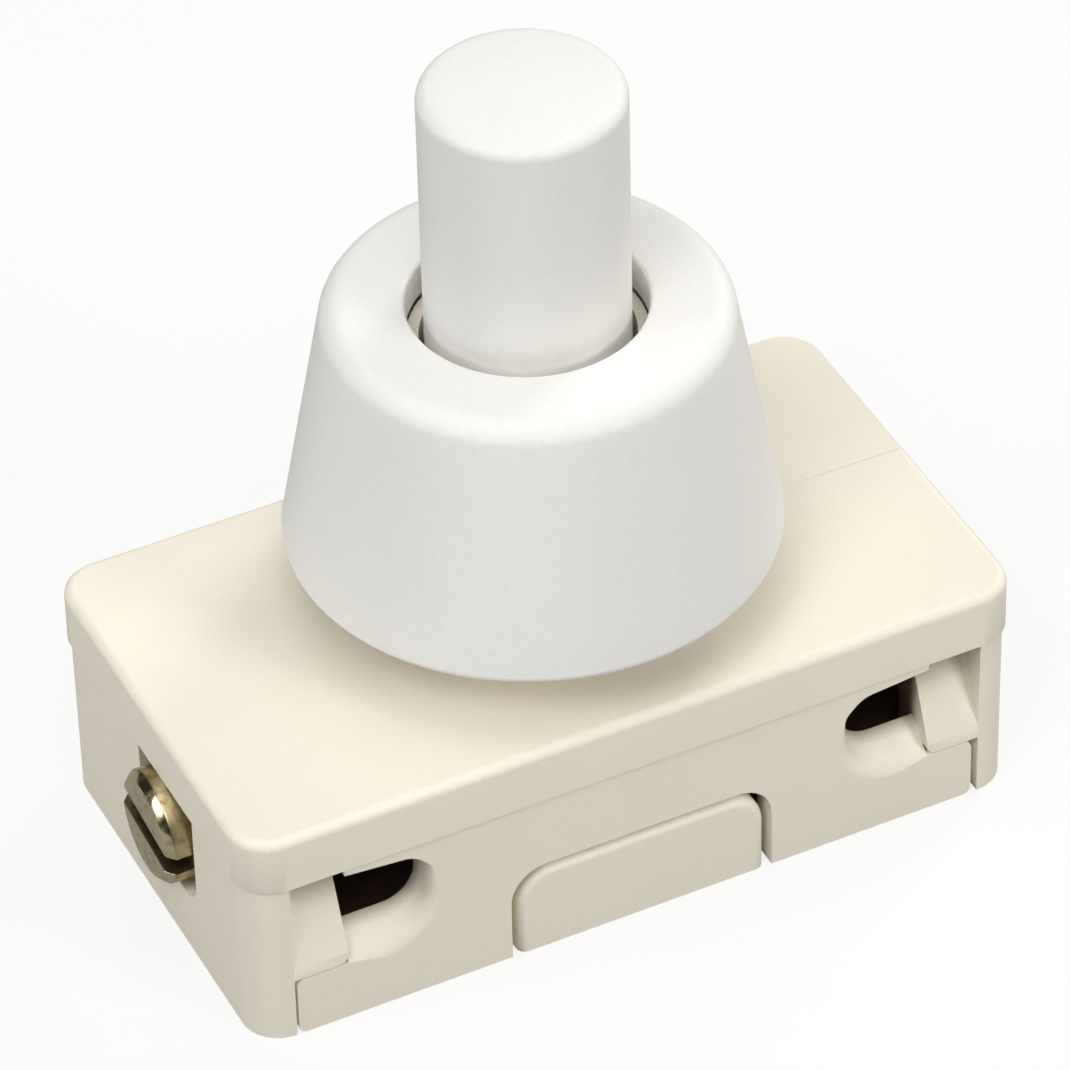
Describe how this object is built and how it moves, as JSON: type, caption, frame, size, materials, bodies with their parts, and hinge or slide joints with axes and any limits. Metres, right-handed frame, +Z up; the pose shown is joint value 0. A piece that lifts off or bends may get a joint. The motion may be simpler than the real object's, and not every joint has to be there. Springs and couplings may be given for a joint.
{
  "type": "pushbutton switch",
  "caption": "Panel-mount push-push switch: ivory clip-together body with wire mouths and screw terminals, threaded neck, tapered white nut and long round button.",
  "frame": {"origin": "centre of the underside of the base", "axes": "+Z up along the neck and the button, +X along the long side from one terminal screw to the other, front with the measured wire mouths at -Y"},
  "size_m": [0.0336, 0.0188, 0.033],
  "materials": {
    "ivory_moulding": "satin ivory thermoset with a faint grain",
    "white_moulding": "white, finely grained",
    "rotor_moulding": "grey acetal, smooth",
    "spring_steel": "bright drawn wire",
    "brass_strip": "stamped strip",
    "contact_silver": "bright silver alloy",
    "nickel_plate": "yellowish bright nickel"
  },
  "bodies": {
    "housing": {"upper_housing": "ivory_moulding", "base_housing": "ivory_moulding", "left_fixed_contact": "brass_strip", "right_fixed_contact": "brass_strip", "left_fixed_rivet": "contact_silver", "right_fixed_rivet": "contact_silver", "left_terminal_cage": "brass_strip", "right_terminal_cage": "brass_strip"},
    "button": {"push_button": "white_moulding", "return_spring": "spring_steel"},
    "rotor": {"ratchet_rotor": "rotor_moulding", "contact_bridge": "brass_strip", "left_bridge_rivet": "contact_silver", "right_bridge_rivet": "contact_silver", "spring_washer": "spring_steel"},
    "nut": {"cone_nut": "white_moulding"},
    "left_clamp": {"left_pressure_plate": "nickel_plate"},
    "left_screw": {"left_terminal_screw": "nickel_plate"},
    "right_clamp": {"right_pressure_plate": "nickel_plate"},
    "right_screw": {"right_terminal_screw": "nickel_plate"}
  },
  "joints": [
    {"name": "button_press", "type": "slide", "parent": "housing", "child": "button", "axis": [0, 0, -1], "range_m": [0, 0.003], "stiffness_N_per_m": 400, "springref_m": -0.004, "deforming": ["return_spring"]},
    {"name": "rotor_turn", "type": "hinge", "parent": "housing", "child": "rotor", "pos_m": [0, 0, 0.003], "axis": [0, 0, 1], "range_deg": [0, 72]},
    {"name": "nut_turn", "type": "hinge", "parent": "housing", "child": "nut", "pos_m": [0, 0, 0.01275], "axis": [0, 0, 1], "continuous": true},
    {"name": "left_clamp_slide", "type": "slide", "parent": "housing", "child": "left_clamp", "axis": [1, 0, 0], "range_m": [0, 0.0018]},
    {"name": "left_screw_turn", "type": "hinge", "parent": "left_clamp", "child": "left_screw", "pos_m": [-0.0149, -0.0011, 0.00515], "axis": [1, 0, 0], "range_deg": [0, 1300]},
    {"name": "right_clamp_slide", "type": "slide", "parent": "housing", "child": "right_clamp", "axis": [-1, 0, 0], "range_m": [0, 0.0018]},
    {"name": "right_screw_turn", "type": "hinge", "parent": "right_clamp", "child": "right_screw", "pos_m": [0.0149, -0.0011, 0.00515], "axis": [-1, 0, 0], "range_deg": [0, 1300]}
  ],
  "couplings": [
    {"joint": "rotor_turn", "follows": "button_press", "rad_per_m": 418.8},
    {"joint": "left_screw_turn", "follows": "left_clamp_slide", "rad_per_m": 12566},
    {"joint": "right_screw_turn", "follows": "right_clamp_slide", "rad_per_m": 12566}
  ]
}
